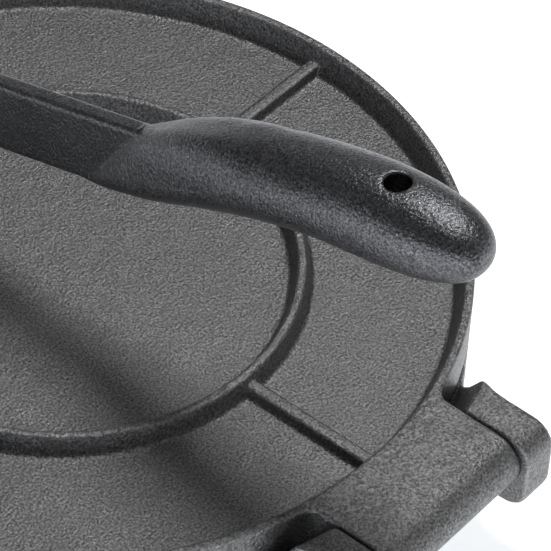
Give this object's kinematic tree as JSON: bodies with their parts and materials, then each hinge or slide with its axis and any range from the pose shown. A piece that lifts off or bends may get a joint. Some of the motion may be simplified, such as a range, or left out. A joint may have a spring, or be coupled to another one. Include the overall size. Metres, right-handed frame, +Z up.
{
  "type": "patty press",
  "caption": "Hinged two-plate hand press of cast metal with a long lever that swings over and bears down on the round upper plate.",
  "frame": {"origin": "middle of the press's bounding box, at the level of the table under its feet", "axes": "+Z up; +Y from the lever's pivot at the front to the plates' hinge at the rear; +X to the right, along both pivots"},
  "size_m": [0.262, 0.366, 0.1644],
  "materials": {
    "cast_iron": "fine-grained semi-gloss cast skin",
    "plated_steel": "dull zinc plating",
    "foot_rubber": "matt moulded rubber"
  },
  "bodies": {
    "base": {"base_plate": "cast_iron", "hinge_pin": "plated_steel", "lever_bolt": "plated_steel", "lever_nut": "plated_steel", "lever_washers": "plated_steel", "foot_washers": "plated_steel", "foot_screws": "plated_steel", "rubber_foot_rear_right": "foot_rubber", "rubber_foot_rear_left": "foot_rubber", "rubber_foot_front_left": "foot_rubber", "rubber_foot_front_right": "foot_rubber"},
    "plate": {"upper_plate": "cast_iron"},
    "lever": {"lever_handle": "cast_iron"}
  },
  "joints": [
    {"name": "plate_hinge", "type": "hinge", "parent": "base", "child": "plate", "pos_m": [0, 0.1708, 0.0402], "axis": [-1, 0, 0], "range_deg": [0, 35]},
    {"name": "lever_pivot", "type": "hinge", "parent": "base", "child": "lever", "pos_m": [0, -0.168, 0.054], "axis": [1, 0, 0], "range_deg": [0, 165]}
  ],
  "couplings": [
    {"joint": "lever_pivot", "follows": "plate_hinge", "ratio": 4.7}
  ]
}
